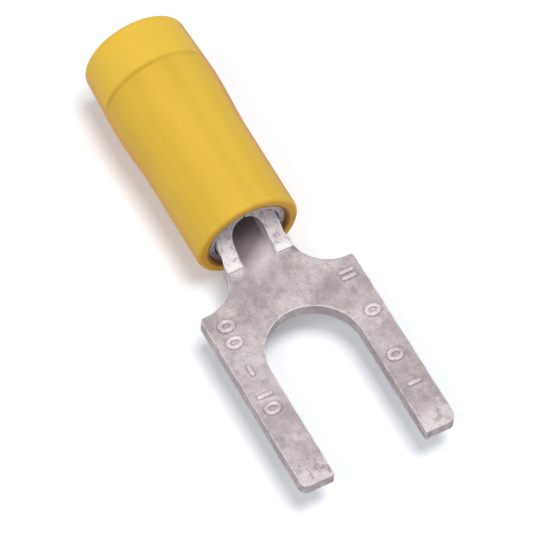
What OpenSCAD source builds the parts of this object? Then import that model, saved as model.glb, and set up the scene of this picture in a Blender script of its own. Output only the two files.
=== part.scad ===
// Insulated fork terminal for a small wire, in three pieces:
// a forked tongue with its rolled barrel, a thin metal grip sleeve and a nylon insulator.
// The origin is the centre of the slot's round end, on the tongue's underside.
// +X runs out between the prongs, +Z is up, and the wire comes in along +X from behind.

/* [Fork] */
// Thickness of the strip that the terminal is stamped from
sheet_t = 0.75; // [0.5:0.05:0.9]
// Width over both prongs
fork_w = 7.9; // [7:0.1:11]
// Width of the slot for the screw
slot_w = 4.7; // [3:0.1:5]
// Length of the prongs past the centre of the slot's round end
prong_reach = 5.9; // [4:0.1:10]
// Distance from that centre back to the shoulders
shoulder_back = 3.8; // [3.4:0.1:5]
// Radius of the concave sweep from each shoulder into the neck
neck_fillet_r = 1.9; // [1.2:0.1:2.1]
// Radius of the outer corners at the prong tips
tip_corner_r = 0.35; // [0.1:0.05:0.6]
// Radius of the shoulder corners
shoulder_corner_r = 0.15; // [0.05:0.05:0.4]
// Length of the coined lead-in on top of each prong tip
tip_lead_len = 0.6; // [0.3:0.1:1.5]
// Depth of that lead-in at the very tip
tip_lead_drop = 0.08; // [0.04:0.01:0.3]

/* [Barrel] */
// Radius of the wire bore
bore_r = 0.85; // [0.6:0.05:1]
// Length of the closed part of the barrel
barrel_len = 5.6; // [4:0.1:6]
// Height of the barrel axis over the top of the tongue
axis_rise = 0.4; // [0.2:0.05:0.6]
// Distance from the shoulders back to where the side walls begin to rise
wall_start_back = 1.5; // [1.2:0.1:1.8]
// Height of the step at which each side wall begins
wall_step = 0.12; // [0.05:0.01:0.25]
// How far the neck stands out past the barrel on each side
neck_flare = 0.11; // [0.05:0.01:0.2]
// Length over which the wire bore flattens out into the tongue
trough_run = 2.2; // [1.9:0.1:2.5]
// Radius of this trough where it runs out into the tongue
trough_r = 1.9; // [1.2:0.1:2.5]
// Width of the butted seam along the top of the barrel
seam_gap = 0.08; // [0.04:0.01:0.15]
// Depth of the chamfer at the wire's way in
bore_chamfer = 0.2; // [0.1:0.05:0.3]

/* [Grip sleeve] */
// Wall thickness of the metal sleeve
sleeve_wall = 0.3; // [0.2:0.05:0.4]
// Radius of the sleeve's bore where it holds the wire's covering
grip_r = 1.84; // [1.76:0.02:1.96]
// Length of the wide part that holds the wire's covering
grip_len = 1.4; // [1:0.1:2.5]
// Length of the funnel between the wide part and the barrel
funnel_len = 1; // [0.6:0.1:1.5]
// How far the sleeve's front edge lies inside the insulator's mouth
sleeve_recess = 0.2; // [0.1:0.02:0.3]
// Length of the sleeve's straight part past the end of the barrel
sleeve_overrun = 0.2; // [0.1:0.1:0.6]

/* [Insulator] */
// Wall thickness of the nylon round the barrel
nylon_wall = 0.6; // [0.4:0.05:0.9]
// Wall thickness of the nylon round the wide part of the sleeve
grip_nylon_wall = 0.58; // [0.4:0.01:0.7]
// Distance from the shoulders back to the insulator's mouth
mouth_back = 2.7; // [2.3:0.1:3]
// Length of the nylon lip behind the sleeve
lip_len = 2.5; // [1.5:0.1:3.5]
// How much the lip's radius shrinks by the rear rim
lip_taper = 0.13; // [0.05:0.01:0.25]
// Radius of the bore through the lip
lip_bore_r = 2.1; // [2:0.05:2.15]
// Length of the sweep from the front body up to the wide part
flare_len = 3.6; // [2.5:0.1:4.5]
// Rounding of the mouth's outer edge
mouth_round = 0.22; // [0.1:0.02:0.3]
// Rounding of the rear rim's outer edge
rim_round = 0.3; // [0.1:0.02:0.4]
// Rounding of both inner edges
inner_round = 0.12; // [0.05:0.01:0.2]

/* [Fits] */
// Radial gap between the barrel and the sleeve
barrel_fit = 0.08; // [0.02:0.01:0.1]
// Radial gap between the sleeve and the nylon
sleeve_fit = 0.02; // [0.01:0.01:0.05]

/* [Hidden] */
$fn = 128;
// Extra length that carries a cut clear of the faces it passes
past = 1;
// Number of steps in each curved stretch of the insulator's outline
curve_steps = 12;

// Fork, from the slot's centre
tip_x = prong_reach;
shoulder_x = -shoulder_back;

// Barrel and neck
barrel_r = bore_r + sheet_t;
axis_z = sheet_t + axis_rise;
barrel_top_z = axis_z + barrel_r;
wall_x = shoulder_x - wall_start_back;
sweep_r = barrel_top_z - sheet_t - wall_step;
barrel_front_x = wall_x - sweep_r;
barrel_rear_x = barrel_front_x - barrel_len;
mouth_x = shoulder_x - mouth_back;
neck_half_w = barrel_r + neck_flare;
fillet_rear_x = shoulder_x - neck_fillet_r;
// The bore opens into the trough at one of these places, and the trough into the tongue at the other
trough_rear_x = fillet_rear_x - sheet_t / 2;
trough_front_x = trough_rear_x + trough_run;
// Stations along the trough, each with its place from 0 to 1 and how far its bottom has risen
trough_stations = [[0, 0], [0.3, 0.22], [0.65, 0.74], [1, 1]];
// Fineness of the trough's round sections
trough_fn = 64;
// A plane piece so thin that it only sets where the trough's surface begins and ends
slice = 0.001;

// Grip sleeve
sleeve_front_x = mouth_x - sleeve_recess;
sleeve_in_r = barrel_r + barrel_fit;
sleeve_out_r = sleeve_in_r + sleeve_wall;
funnel_front_x = barrel_rear_x - sleeve_overrun;
funnel_rear_x = funnel_front_x - funnel_len;
sleeve_rear_x = funnel_rear_x - grip_len;
grip_out_r = grip_r + sleeve_wall;

// Insulator
nylon_in_r = sleeve_out_r + sleeve_fit;
nylon_out_r = nylon_in_r + nylon_wall;
grip_seat_r = grip_out_r + sleeve_fit;
bulge_r = grip_seat_r + grip_nylon_wall;
rear_x = sleeve_rear_x - sleeve_fit - lip_len;
rear_r = bulge_r - lip_taper;
flare_rear_x = funnel_rear_x - grip_len / 2;
flare_front_x = flare_rear_x + flare_len;

// A point on a circle, for round edges in an outline
function on_circle(c, r, angle) = c + r * [cos(angle), sin(angle)];
// Height along a smooth sweep from one level to another, for t from 0 to 1
function sweep(a, b, t) = a + (b - a) * (1 - cos(180 * t)) / 2;

// One square corner of the fork, to be cut away to leave it round.
// The corner is at the origin and the metal lies towards -X and -Y.
module corner_waste(r) {
    difference() {
        translate([-r, -r])
            square(r + past);
        translate([-r, -r])
            circle(r);
    }
}

module tongue_outline() {
    difference() {
        union() {
            translate([shoulder_x, -fork_w / 2])
                square([tip_x - shoulder_x, fork_w]);
            // Neck, narrower towards the barrel
            polygon([
                [shoulder_x + past, -neck_half_w - neck_fillet_r],
                [shoulder_x, -neck_half_w - neck_fillet_r],
                [fillet_rear_x, -neck_half_w],
                [mouth_x, -barrel_r / 2],
                [mouth_x, barrel_r / 2],
                [fillet_rear_x, neck_half_w],
                [shoulder_x, neck_half_w + neck_fillet_r],
                [shoulder_x + past, neck_half_w + neck_fillet_r]
            ]);
        }
        // Screw slot with a round end
        circle(slot_w / 2);
        translate([0, -slot_w / 2])
            square([tip_x + past, slot_w]);
        for (side = [-1, 1]) {
            // Concave sweep from the shoulder into the neck
            translate([fillet_rear_x, side * (neck_half_w + neck_fillet_r)])
                circle(neck_fillet_r);
            translate([tip_x, side * fork_w / 2])
                mirror([0, side < 0 ? 1 : 0])
                    corner_waste(tip_corner_r);
            translate([shoulder_x, side * fork_w / 2])
                mirror([1, 0])
                    mirror([0, side < 0 ? 1 : 0])
                        corner_waste(shoulder_corner_r);
        }
    }
}

// A round rod along X on the barrel's axis, from radius r_rear to r_front
module rod_x(x_rear, x_front, r_rear, r_front) {
    translate([x_rear, 0, axis_z])
        rotate([0, 90, 0])
            cylinder(r1 = r_rear, r2 = r_front, h = x_front - x_rear);
}

// A thin round slice of the trough at one station, grown all round by extra
module trough_slice(station, extra) {
    x = trough_rear_x + trough_run * station[0];
    r = bore_r + (trough_r - bore_r) * station[0];
    bottom_z = axis_z - bore_r + (sheet_t - axis_z + bore_r) * station[1];
    translate([0, 0, bottom_z + r - axis_z])
        rod_x(x - slice, x, r + extra, r + extra, $fn = trough_fn);
}

// The neck's trough, grown all round by extra. Its bottom rises as its radius widens,
// from the barrel's bore to the top of the tongue.
module trough(extra) {
    for (i = [1 : len(trough_stations) - 1])
        hull() {
            trough_slice(trough_stations[i - 1], extra);
            trough_slice(trough_stations[i], extra);
        }
}

// Plan of the folded neck, a little wider towards the shoulders
module neck_plan() {
    polygon([
        [trough_rear_x - slice, -barrel_r],
        [fillet_rear_x, -neck_half_w],
        [trough_front_x, -neck_half_w],
        [trough_front_x, neck_half_w],
        [fillet_rear_x, neck_half_w],
        [trough_rear_x - slice, barrel_r]
    ]);
}

// A lathe-turned piece round the barrel's axis, from an outline of [x, radius] points
module turned_x(outline) {
    translate([0, 0, axis_z])
        rotate([0, 90, 0])
            rotate([0, 0, 90])
                rotate_extrude()
                    polygon([for (p = outline) [p[1], p[0]]]);
}

// What the press takes away over the neck: the side walls rise along a round sweep
module over_neck() {
    translate([wall_x, 0, sheet_t + wall_step + sweep_r])
        rotate([90, 0, 0])
            cylinder(r = sweep_r, h = 2 * barrel_r + 2 * past, center = true);
    translate([wall_x, -barrel_r - past, sheet_t])
        cube([neck_fillet_r + past, 2 * (barrel_r + past), barrel_top_z]);
}

module coined_tips() {
    lead_angle = atan(tip_lead_drop / tip_lead_len);
    translate([tip_x - tip_lead_len, -fork_w / 2 - past, sheet_t])
        rotate([0, lead_angle, 0])
            cube([tip_lead_len + past, fork_w + 2 * past, past]);
}

module terminal() {
    color("Gainsboro")
        difference() {
            union() {
                linear_extrude(sheet_t)
                    tongue_outline();
                rod_x(barrel_rear_x, trough_rear_x, barrel_r, barrel_r);
                intersection() {
                    trough(sheet_t);
                    translate([0, 0, -barrel_r])
                        linear_extrude(2 * barrel_r + axis_z)
                            neck_plan();
                }
            }
            rod_x(barrel_rear_x - past, trough_rear_x, bore_r, bore_r);
            trough(0);
            rod_x(barrel_rear_x - past, barrel_rear_x, bore_r + bore_chamfer + past, bore_r + bore_chamfer);
            rod_x(barrel_rear_x, barrel_rear_x + bore_chamfer, bore_r + bore_chamfer, bore_r);
            over_neck();
            coined_tips();
            // Butted seam of the rolled strip
            translate([barrel_rear_x - past, -seam_gap / 2, axis_z])
                cube([barrel_front_x + past - barrel_rear_x + past, seam_gap, barrel_r + past]);
        }
}

module grip_sleeve() {
    color("Silver")
        turned_x([
            [sleeve_front_x, sleeve_in_r],
            [sleeve_front_x, sleeve_out_r],
            [funnel_front_x, sleeve_out_r],
            [funnel_rear_x, grip_out_r],
            [sleeve_rear_x, grip_out_r],
            [sleeve_rear_x, grip_r],
            [funnel_rear_x, grip_r],
            [funnel_front_x, sleeve_in_r]
        ]);
}

module insulator() {
    mouth_edge = [mouth_x - mouth_round, nylon_out_r - mouth_round];
    rear_edge = [rear_x + rim_round, rear_r - rim_round];
    mouth_inner = [mouth_x - inner_round, nylon_in_r + inner_round];
    rear_inner = [rear_x + inner_round, lip_bore_r + inner_round];
    step = 90 / curve_steps;
    color("Goldenrod")
        turned_x(concat(
            [for (a = [0 : step : 90]) on_circle(mouth_edge, mouth_round, a)],
            [for (i = [0 : curve_steps])
                let (t = i / curve_steps)
                [flare_front_x - flare_len * t, sweep(nylon_out_r, bulge_r, t)]],
            [for (a = [90 : step : 180]) on_circle(rear_edge, rim_round, a)],
            [for (a = [180 : step : 270]) on_circle(rear_inner, inner_round, a)],
            [
                [sleeve_rear_x - sleeve_fit, lip_bore_r],
                [sleeve_rear_x - sleeve_fit, grip_seat_r],
                [funnel_rear_x, grip_seat_r],
                [funnel_front_x, nylon_in_r]
            ],
            [for (a = [270 : step : 360]) on_circle(mouth_inner, inner_round, a)]
        ));
}

terminal();
grip_sleeve();
insulator();
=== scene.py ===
"""Looks of an insulated fork terminal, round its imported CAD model.

Lengths are in metres. The frame is the CAD's: the origin is the centre of the slot's round
end on the tongue's underside, +X runs out between the prongs, and +Z is up.
"""
import math

import bmesh
import bpy
from mathutils import Matrix, Vector


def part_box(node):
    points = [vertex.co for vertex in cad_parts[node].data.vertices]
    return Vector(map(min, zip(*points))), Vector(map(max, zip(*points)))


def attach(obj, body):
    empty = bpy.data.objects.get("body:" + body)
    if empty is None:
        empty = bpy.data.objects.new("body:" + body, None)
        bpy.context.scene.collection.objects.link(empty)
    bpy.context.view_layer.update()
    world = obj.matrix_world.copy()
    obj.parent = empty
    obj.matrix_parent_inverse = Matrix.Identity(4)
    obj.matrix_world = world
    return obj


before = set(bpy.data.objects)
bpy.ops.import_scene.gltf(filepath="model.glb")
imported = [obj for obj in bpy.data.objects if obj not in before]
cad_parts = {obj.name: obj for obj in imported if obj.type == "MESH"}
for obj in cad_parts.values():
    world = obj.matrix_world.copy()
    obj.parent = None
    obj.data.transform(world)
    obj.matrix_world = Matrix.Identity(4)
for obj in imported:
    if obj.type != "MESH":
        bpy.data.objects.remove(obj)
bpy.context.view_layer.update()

MM = 0.001

# Places on the terminal, read from the frame
fork_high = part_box("terminal")[1]
shell_low, shell_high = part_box("insulator")
sleeve_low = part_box("grip_sleeve")[0]
axis_z = (shell_low[2] + shell_high[2]) / 2
mouth_x = shell_high[0]
rear_x = shell_low[0]
tip_x = fork_high[0]
floor_z = shell_low[2]

# The strip's upper side, and where its side walls begin to rise
tongue_top = 0.75 * MM
wall_foot_x = -5.3 * MM

# Where the strip's looks change: ahead of the shoulders, at the worn tips that are also painted
# paler as painted light, at a darker band across mid prong, and where the trough's painted light
# begins
neck_look_x = -3.2 * MM
tip_wear_and_highlight_x = 4.4 * MM
dark_band_x = 2.3 * MM
painted_trough_light_x = -4.5 * MM

# How far out from the axis the painted shade line at the mouth reaches, and how far in along it
mouth_shade_r = 2.1 * MM
mouth_shade_depth = 0.25 * MM

# Camera, fitted to the outline of the tongue and the insulator
image_px = 540
sensor_mm = 36
view_azimuth = math.radians(56.5)
view_elevation = math.radians(58.5)
view_roll = math.radians(5.8)
focal_px = 4500
px_per_mm = 21.87
view_target = Vector((-5.06, 0.39, 0)) * MM


def make_camera():
    """A long lens at the photograph's viewing angle, rolled as the photograph is."""
    sa, ca = math.sin(view_azimuth), math.cos(view_azimuth)
    se, ce = math.sin(view_elevation), math.cos(view_elevation)
    level_right = Vector((ca, sa, 0))
    level_up = Vector((-sa * se, ca * se, ce))
    back = Vector((sa * ce, -ca * ce, se))
    right = level_right * math.cos(view_roll) + level_up * math.sin(view_roll)
    up = back.cross(right)
    distance = focal_px / px_per_mm * MM
    data = bpy.data.cameras.new("camera")
    data.sensor_width = sensor_mm
    data.lens = focal_px / image_px * sensor_mm
    data.clip_start = 0.01
    data.clip_end = 10
    camera = bpy.data.objects.new("camera", data)
    turn = Matrix((right, up, back)).transposed().to_4x4()
    camera.matrix_world = Matrix.Translation(view_target + back * distance) @ turn
    bpy.context.scene.collection.objects.link(camera)
    bpy.context.scene.camera = camera


# Light, at a level where an upward face renders about as its colour is written
key_power = 1.55
card_power = 0.16
front_power = 0.24
fill_power = 0.75
world_strength = 0.2
world_colour = (0.92, 0.96, 1, 1)
floor_colour = (0.925, 0.93, 0.945, 1)
floor_lift = 0.19
floor_lift_colour = (0.82, 0.93, 1, 1)


class Shader:
    """A small helper that adds and links the nodes of one material."""

    def __init__(self, name):
        self.material = bpy.data.materials.new(name)
        self.material.use_nodes = True
        self.nodes = self.material.node_tree.nodes
        self.links = self.material.node_tree.links
        self.nodes.clear()
        self.bsdf = self.add("ShaderNodeBsdfPrincipled")
        self.output = self.add("ShaderNodeOutputMaterial")
        self.link(self.bsdf.outputs[0], self.output.inputs[0])

    def add(self, kind, **settings):
        node = self.nodes.new(kind)
        for key, value in settings.items():
            setattr(node, key, value)
        return node

    def link(self, source, target):
        self.links.new(source, target)

    def place(self):
        """Position on the object, in millimetres."""
        coordinates = self.add("ShaderNodeTexCoord")
        scale = self.add("ShaderNodeVectorMath", operation="SCALE")
        scale.inputs["Scale"].default_value = 1 / MM
        self.link(coordinates.outputs["Object"], scale.inputs[0])
        return scale.outputs[0]

    def split(self, vector):
        parts = self.add("ShaderNodeSeparateXYZ")
        self.link(vector, parts.inputs[0])
        return parts.outputs

    def noise(self, vector, scale, detail, roughness, stretch=(1, 1, 1), offset=(0, 0, 0)):
        mapping = self.add("ShaderNodeMapping")
        mapping.inputs["Scale"].default_value = stretch
        mapping.inputs["Location"].default_value = offset
        self.link(vector, mapping.inputs["Vector"])
        noise = self.add("ShaderNodeTexNoise")
        noise.inputs["Scale"].default_value = scale
        noise.inputs["Detail"].default_value = detail
        noise.inputs["Roughness"].default_value = roughness
        self.link(mapping.outputs[0], noise.inputs["Vector"])
        return noise.outputs["Fac"]

    def ramp(self, value, stops, smooth=False):
        """A colour or grey ramp. Each stop is a position and a colour or a grey level."""
        ramp = self.add("ShaderNodeValToRGB")
        if smooth:
            ramp.color_ramp.interpolation = "EASE"
        elements = ramp.color_ramp.elements
        while len(elements) < len(stops):
            elements.new(0.5)
        for element, (position, colour) in zip(elements, stops):
            grey = isinstance(colour, (int, float))
            element.position = position
            element.color = (colour,) * 3 + (1,) if grey else (*colour, 1)
        self.link(value, ramp.inputs[0])
        return ramp.outputs[0]

    def math(self, operation, a, b=None, c=None):
        node = self.add("ShaderNodeMath", operation=operation)
        for socket, value in zip(node.inputs, (a, b, c)):
            if value is None:
                continue
            if isinstance(value, (int, float)):
                socket.default_value = value
            else:
                self.link(value, socket)
        return node.outputs[0]

    def times(self, a, b):
        return self.math("MULTIPLY", a, b)

    def minus(self, a, b):
        return self.math("SUBTRACT", a, b)

    def more(self, a, b):
        return self.math("MAXIMUM", a, b)

    def near(self, value, middle, stops, smooth=False):
        """A ramp over the distance of the value from a middle."""
        return self.ramp(self.math("ABSOLUTE", self.minus(value, middle)), stops, smooth)

    def mix(self, factor, a, b):
        """A mix of two colours. Inputs 0, 6 and 7 and output 2 are the node's colour ones."""
        node = self.add("ShaderNodeMix", data_type="RGBA")
        sockets = (node.inputs[0], node.inputs[6], node.inputs[7])
        for socket, value in zip(sockets, (factor, a, b)):
            if isinstance(value, tuple):
                socket.default_value = (*value, 1)
            elif isinstance(value, (int, float)):
                socket.default_value = value
            else:
                self.link(value, socket)
        return node.outputs[2]

    def bump(self, height, strength, distance_mm, normal=None):
        node = self.add("ShaderNodeBump")
        node.inputs["Strength"].default_value = strength
        node.inputs["Distance"].default_value = distance_mm * MM
        self.link(height, node.inputs["Height"])
        if normal is not None:
            self.link(normal, node.inputs["Normal"])
        return node.outputs[0]


def srgb(red, green, blue):
    """A colour written as it shows on a screen, from 0 to 255, in the shader's linear scale."""
    def linear(value):
        value /= 255
        return value / 12.92 if value <= 0.04045 else ((value + 0.055) / 1.055) ** 2.4
    return tuple(linear(value) for value in (red, green, blue))


def nylon_material():
    """Warm yellow nylon, a little see-through, with the sleeve's rear edge faint inside it."""
    s = Shader("yellow_nylon")
    place = s.place()
    x, y, z = s.split(place)[0:3]
    cloud = s.noise(place, 0.45, 2, 0.5, (0.35, 1, 1))
    body = s.ramp(cloud, [(0.3, srgb(222, 180, 66)), (0.7, srgb(231, 190, 72))])
    # Soft streaks along the moulding
    streak = s.noise(place, 1.1, 1, 0.5, (0.04, 1, 1))
    body = s.mix(s.ramp(streak, [(0.4, 0.0), (0.62, 0.4)]), body, srgb(240, 200, 80))
    # The lip has no metal behind it, so it is paler
    sleeve_end = sleeve_low[0] / MM
    lip = s.ramp(s.minus(sleeve_end, x), [(0.0, 0.0), (0.25, 0.75)])
    body = s.mix(lip, body, srgb(240, 200, 77))
    # The sleeve's edge shows as a soft dark ring, partly the edge seen through the nylon and
    # partly painted shade along it
    patchy = s.noise(place, 0.7, 2, 0.5)
    ring = s.near(x, sleeve_end, [(0.03, 0.55), (0.17, 0.0)], smooth=True)
    ring = s.times(ring, s.ramp(patchy, [(0.35, 0.25), (0.6, 1.0)]))
    body = s.mix(ring, body, srgb(192, 148, 44))
    # Painted shade: deeper amber along the sides, and on the faces turned down
    geometry = s.add("ShaderNodeNewGeometry")
    side, up = s.split(geometry.outputs["Normal"])[1:3]
    side_shade_painted = s.ramp(side, [(0.72, 0.0), (0.93, 1.0)], smooth=True)
    body = s.mix(side_shade_painted, body, srgb(213, 134, 50))
    # Painted shade on the faces turned down
    under = s.ramp(s.minus(0.25, up), [(0.0, 0.0), (0.5, 0.95)], smooth=True)
    body = s.mix(under, body, srgb(220, 152, 44))
    # Painted shade: a thin brown line round the mouth's inner edge, just inside the mouth
    off_axis = s.minus(z, axis_z / MM)
    radius = s.math("SQRT", s.math("ADD", s.times(y, y), s.times(off_axis, off_axis)))
    inside = s.ramp(s.minus(radius, mouth_shade_r / MM), [(0.0, 1.0), (0.1, 0.0)])
    front = s.ramp(s.minus(x, (mouth_x - mouth_shade_depth) / MM), [(0.0, 0.0), (0.1, 1.0)])
    body = s.mix(s.times(s.times(inside, front), 0.85), body, srgb(140, 84, 50))
    s.link(body, s.bsdf.inputs["Base Color"])
    s.bsdf.inputs["Roughness"].default_value = 0.45
    s.bsdf.inputs["IOR"].default_value = 1.5
    s.bsdf.inputs["Specular IOR Level"].default_value = 0.1
    s.bsdf.inputs["Subsurface Weight"].default_value = 0.3
    s.bsdf.inputs["Subsurface Radius"].default_value = (1.0, 0.5, 0.12)
    s.bsdf.inputs["Subsurface Scale"].default_value = 0.5 * MM
    fine = s.noise(place, 7, 3, 0.6)
    s.link(s.bump(fine, 0.12, 0.015), s.bsdf.inputs["Normal"])
    return s.material


def tin_material(name, light, dark, edge_bright, corner_mm, corner_dark, dull=0.0):
    """Dull tin plate with fine mottling, and a painted highlight along its edges.

    Light and dark are the two tones of its clouds, edge_bright says how bright the painted
    highlight along the edges is, and corner_mm and corner_dark how wide and how dark the
    painted shade in the corners is. Dull takes the gloss off the whole.
    """
    s = Shader(name)
    place = s.place()
    x, y, z = s.split(place)[0:3]
    geometry = s.add("ShaderNodeNewGeometry")
    facing_up = s.split(geometry.outputs["Normal"])[2]
    top = tongue_top / MM
    # Regions of the strip
    in_neck = s.ramp(s.minus(neck_look_x / MM, x), [(0.0, 0.0), (0.3, 1.0)])
    at_tip = s.ramp(s.minus(x, tip_wear_and_highlight_x / MM), [(0.0, 0.0), (0.8, 1.0)])
    on_wall = s.times(in_neck, s.ramp(z, [(top + 0.01, 0.0), (top + 0.1, 1.0)]))
    between_walls = s.near(y, 0.0, [(0.7, 1.0), (1.0, 0.0)])
    not_raised = s.ramp(z, [(top + 0.01, 1.0), (top + 0.05, 0.0)])
    hollow = s.times(s.times(between_walls, not_raised), in_neck)
    wall_foot = s.near(x, wall_foot_x / MM, [(0.2, 1.0), (0.45, 0.0)])
    # Broad cloudy patches, darker at mid prong; the paler tips are painted light on their thinned
    # ends
    patch = s.noise(place, 0.75, 4, 0.6, offset=(2.6, 1.4, 0))
    base = s.ramp(patch, [(0.38, dark), (0.64, light)])
    base = s.mix(s.times(at_tip, 0.65), base, srgb(234, 222, 223))
    band = s.near(x, dark_band_x / MM, [(0.3, 0.45), (1.0, 0.0)], smooth=True)
    base = s.mix(band, base, dark)
    # Darker blotches, strongest at the tips
    blotch = s.noise(place, 1.9, 3, 0.65, offset=(0.7, 3.1, 0))
    blotch = s.ramp(blotch, [(0.5, 0.0), (0.64, 0.75)])
    blotch = s.times(blotch, s.math("MULTIPLY_ADD", at_tip, 0.6, 0.4))
    base = s.mix(blotch, base, srgb(146, 130, 133))
    # The side walls are painted paler, standing in for the light on them, and pitted
    base = s.mix(s.times(on_wall, 0.65), base, srgb(238, 229, 231))
    pits = s.noise(place, 3.4, 3, 0.7, offset=(0.4, 1.7, 0))
    pits = s.times(on_wall, s.ramp(pits, [(0.52, 0.0), (0.66, 0.75)]))
    base = s.mix(pits, base, srgb(138, 124, 129))
    # A fine grain of darker and lighter flecks
    grain = s.noise(place, 10, 4, 0.8)
    base = s.mix(s.ramp(grain, [(0.32, 0.75), (0.5, 0.0)]), base, srgb(150, 136, 139))
    base = s.mix(s.ramp(grain, [(0.55, 0.0), (0.8, 0.5)]), base, light)
    # Painted shade: the sides, by how far they turn from up, are darker than the top
    flank_painted_shade = s.times(s.ramp(facing_up, [(0.3, 0.7), (0.6, 0.0)]), s.minus(1.0, in_neck))
    flank_painted_shade = s.times(flank_painted_shade, s.ramp(s.noise(place, 2.4, 3, 0.6), [(0.35, 0.45), (0.6, 1.0)]))
    base = s.mix(flank_painted_shade, base, srgb(150, 136, 142))
    # Painted light makes the trough paler inwards, and painted shade darkens it where it runs in
    # under the barrel
    pale = s.ramp(s.minus(painted_trough_light_x / MM, x), [(0.0, 0.0), (0.9, 0.6)])
    base = s.mix(s.times(hollow, pale), base, srgb(236, 224, 226))
    rear = s.minus(wall_foot_x / MM, s.math("MULTIPLY_ADD", y, 0.6, x))
    rear = s.ramp(rear, [(0.0, 0.0), (1.0, 0.85)])
    base = s.mix(s.times(hollow, rear), base, srgb(120, 104, 107))
    # Painted shade darkens the corners
    corner = s.add("ShaderNodeAmbientOcclusion", samples=8)
    corner.inputs["Distance"].default_value = corner_mm * MM
    painted_corner_shade = s.ramp(corner.outputs["AO"], [(0.5, corner_dark), (0.88, 0.0)])
    painted_corner_shade = s.times(painted_corner_shade, s.minus(1.0, s.times(in_neck, 0.9)))
    base = s.mix(painted_corner_shade, base, srgb(112, 97, 100))
    # The neck was drawn in the press, so its forms run softly into the tongue
    bevel = s.add("ShaderNodeBevel", samples=8)
    bevel.inputs["Radius"].default_value = 0.1 * MM
    soft = s.add("ShaderNodeBevel", samples=8)
    soft.inputs["Radius"].default_value = 0.45 * MM
    turned = s.mix(s.more(hollow, wall_foot), bevel.outputs[0], soft.outputs[0])
    # Painted highlight: edges turn near white where the rounded normal leaves the true one, and
    # the walls' feet get a painted glare
    dot = s.add("ShaderNodeVectorMath", operation="DOT_PRODUCT")
    s.link(bevel.outputs[0], dot.inputs[0])
    s.link(geometry.outputs["Normal"], dot.inputs[1])
    edge = s.ramp(s.minus(1.0, dot.outputs["Value"]), [(0.01, 0.0), (0.09, edge_bright)])
    edge = s.times(edge, s.ramp(s.noise(place, 2.2, 3, 0.6), [(0.38, 0.4), (0.56, 1.0)]))
    painted_foot_glare = s.times(wall_foot, s.ramp(z, [(top + 0.02, 0.0), (top + 0.05, 0.85)]))
    edge = s.more(edge, painted_foot_glare)
    base = s.mix(edge, base, srgb(252, 249, 249))
    s.link(base, s.bsdf.inputs["Base Color"])
    # Where it is worn, and along the painted edge highlight, it mirrors less
    full_metallic = 0.38
    worn_roughness = (0.75, 0.75, 0.75)
    worn = s.more(s.times(at_tip, 0.6), s.times(hollow, 0.9))
    worn = s.more(worn, s.times(on_wall, 0.4))
    worn = s.more(s.more(worn, edge), dull)
    metallic = s.math("MULTIPLY_ADD", worn, -full_metallic, full_metallic)
    s.link(metallic, s.bsdf.inputs["Metallic"])
    rough = s.ramp(patch, [(0.3, 0.54), (0.7, 0.44)])
    s.link(s.mix(worn, rough, worn_roughness), s.bsdf.inputs["Roughness"])
    # Shallow dents, deeper on the walls and at the tips, under the fine grain
    dents = s.minus(s.noise(place, 2.6, 3, 0.6), 0.5)
    dents = s.times(dents, s.math("MULTIPLY_ADD", s.more(at_tip, on_wall), 2.2, 1.0))
    height = s.math("ADD", dents, s.times(grain, 0.35))
    s.link(s.bump(height, 0.4, 0.035, turned), s.bsdf.inputs["Normal"])
    return s.material


def relief(mesh, path, half_width, height, closed):
    """Adds a low rounded ridge to the mesh along a path of [x, y] points on the tongue's top."""
    around = 12
    points = [Vector((x, y, 0)) for x, y in path]
    sizes = [1.0] * len(points)
    if not closed:
        # Round ends, by smaller rings past each end
        along = (points[-1] - points[0]).normalized()
        for turn in (30, 60, 85):
            step, size = math.sin(math.radians(turn)), math.cos(math.radians(turn))
            points.insert(0, Vector((*path[0], 0)) - along * half_width * step)
            points.append(Vector((*path[-1], 0)) + along * half_width * step)
            sizes = [size] + sizes + [size]
    count = len(points)
    rings = []
    for i, (point, size) in enumerate(zip(points, sizes)):
        before = points[(i - 1) % count] if closed or i > 0 else point
        after = points[(i + 1) % count] if closed or i < count - 1 else point
        along = (after - before).normalized()
        side = Vector((-along.y, along.x, 0))
        centre = Vector((point.x * MM, point.y * MM, tongue_top))
        ring = []
        for k in range(around):
            a = 2 * math.pi * k / around
            out = side * math.cos(a) * half_width * MM + Vector((0, 0, math.sin(a) * height * MM))
            ring.append(mesh.verts.new(centre + out * size))
        rings.append(ring)
    pairs = list(zip(rings, rings[1:]))
    if closed:
        pairs.append((rings[-1], rings[0]))
    else:
        mesh.faces.new(rings[0])
        mesh.faces.new(rings[-1])
    for ring, following in pairs:
        for k in range(around):
            j = (k + 1) % around
            mesh.faces.new((ring[k], ring[j], following[j], following[k]))


def loop(x, y, rx, ry, count=28):
    """Points round an oval."""
    turns = [2 * math.pi * i / count for i in range(count)]
    return [(x + rx * math.cos(a), y + ry * math.sin(a)) for a in turns]


def bar(x, y, dx, dy, count=5):
    """Points along a straight bar, half of which is dx long and dy wide."""
    steps = [2 * i / (count - 1) - 1 for i in range(count)]
    return [(x + dx * t, y + dy * t) for t in steps]


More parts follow.
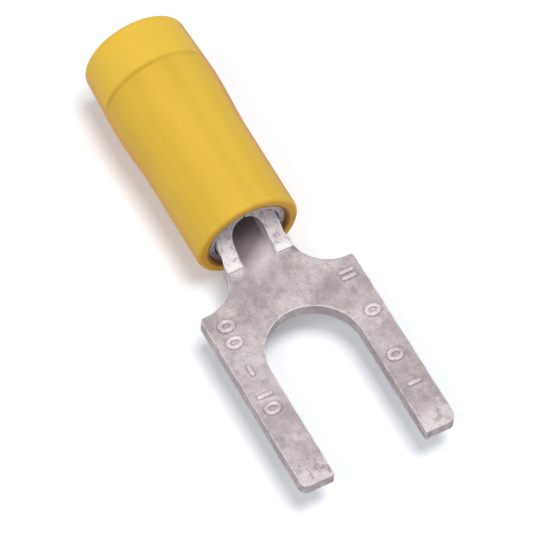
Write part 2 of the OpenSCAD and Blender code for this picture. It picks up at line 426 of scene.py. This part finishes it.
def make_marks():
    """Raised marks along both prongs, as plain rings and bars."""
    mesh = bmesh.new()
    # In millimetres: half the ridge's width and its height, and half of each ring's extent
    ridge, rise = 0.145, 0.09
    ring_x, ring_y = 0.23, 0.32
    rings = ((-2.96, -3.05), (-2.03, -3.12), (1.72, -3.2), (-0.75, 3.3), (1.76, 3.08))
    bars = ((-0.43, -3.17, 0.2, 0), (0.98, -3.2, 0, 0.3), (-2.75, 3.2, 0, 0.3),
            (-3.08, 3.2, 0, 0.3), (3.41, 3.13, 0, 0.26))
    for x, y in rings:
        relief(mesh, loop(x, y, ring_x, ring_y), ridge, rise, True)
    for x, y, dx, dy in bars:
        relief(mesh, bar(x, y, dx, dy), ridge, rise, False)
    bmesh.ops.recalc_face_normals(mesh, faces=mesh.faces)
    for face in mesh.faces:
        face.smooth = True
    data = bpy.data.meshes.new("raised_marks")
    mesh.to_mesh(data)
    mesh.free()
    marks = bpy.data.objects.new("raised_marks", data)
    bpy.context.scene.collection.objects.link(marks)
    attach(marks, "root")
    return marks


def paint(piece, material):
    """Gives the piece one material in all its slots."""
    piece.data.materials.clear()
    piece.data.materials.append(material)


def make_floor():
    """A plain pale floor that the camera sees as white, with the object's shadow on it."""
    size = 0.6
    mesh = bpy.data.meshes.new("floor")
    signs = ((-1, -1), (1, -1), (1, 1), (-1, 1))
    corners = [(size * along, size * across, floor_z) for along, across in signs]
    mesh.from_pydata(corners, [], [(0, 1, 2, 3)])
    floor = bpy.data.objects.new("floor", mesh)
    bpy.context.scene.collection.objects.link(floor)
    s = Shader("floor_white")
    s.bsdf.inputs["Base Color"].default_value = floor_colour
    s.bsdf.inputs["Roughness"].default_value = 0.9
    s.bsdf.inputs["Specular IOR Level"].default_value = 0
    # What the lamps leave short of white, for the eye and for reflections alone
    path = s.add("ShaderNodeLightPath")
    seen = s.more(path.outputs["Is Camera Ray"], path.outputs["Is Glossy Ray"])
    seen = s.more(seen, path.outputs["Is Transmission Ray"])
    lift = s.times(seen, floor_lift)
    s.bsdf.inputs["Emission Color"].default_value = floor_lift_colour
    s.link(lift, s.bsdf.inputs["Emission Strength"])
    mesh.materials.append(s.material)


def area_light(name, place, target, size, power):
    """A round soft lamp, aimed at a target."""
    data = bpy.data.lights.new(name, "AREA")
    data.shape = "DISK"
    data.size = size
    data.energy = power
    lamp = bpy.data.objects.new(name, data)
    aim = (Vector(target) - Vector(place)).to_track_quat("-Z", "Y")
    lamp.matrix_world = Matrix.Translation(Vector(place)) @ aim.to_matrix().to_4x4()
    bpy.context.scene.collection.objects.link(lamp)


def make_light():
    """A soft overhead key, a pale card that the tongue mirrors, two fills and a pale world."""
    middle = ((rear_x + tip_x) / 2, 0, 0)
    area_light("key", (0.03, 0.06, 0.5), middle, 0.24, key_power)
    area_light("card", (-0.27, 0.17, 0.5), middle, 0.4, card_power)
    area_light("front", (0.42, 0.02, 0.34), middle, 0.25, front_power)
    area_light("fill", (0.08, -0.34, 0.4), middle, 0.3, fill_power)
    world = bpy.data.worlds.new("studio")
    bpy.context.scene.world = world
    world.use_nodes = True
    background = world.node_tree.nodes["Background"]
    background.inputs["Color"].default_value = world_colour
    background.inputs["Strength"].default_value = world_strength


make_camera()
make_floor()
make_light()

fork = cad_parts["terminal"]
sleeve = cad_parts["grip_sleeve"]
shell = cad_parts["insulator"]
strip_tin = tin_material("tinned_copper", srgb(212, 200, 201), srgb(172, 159, 160),
                         edge_bright=0.95, corner_mm=0.14, corner_dark=0.5)
# The marks get paler tones as painted light on their relief, with a thin painted shade round them
marks_tin_painted_light = tin_material("tinned_marks", srgb(236, 224, 225), srgb(206, 193, 194),
                         edge_bright=0.0, corner_mm=0.07, corner_dark=0.45, dull=0.3)
# The sleeve, deep in the mouth, has darker tones and deep corner darkening, as painted shade
sleeve_tin_painted_shade = tin_material("tinned_sleeve", srgb(170, 156, 165), srgb(112, 96, 107),
                          edge_bright=0.6, corner_mm=0.5, corner_dark=0.95)
paint(fork, strip_tin)
paint(make_marks(), marks_tin_painted_light)
paint(sleeve, sleeve_tin_painted_shade)
paint(shell, nylon_material())

bpy.context.scene.view_settings.view_transform = "Standard"
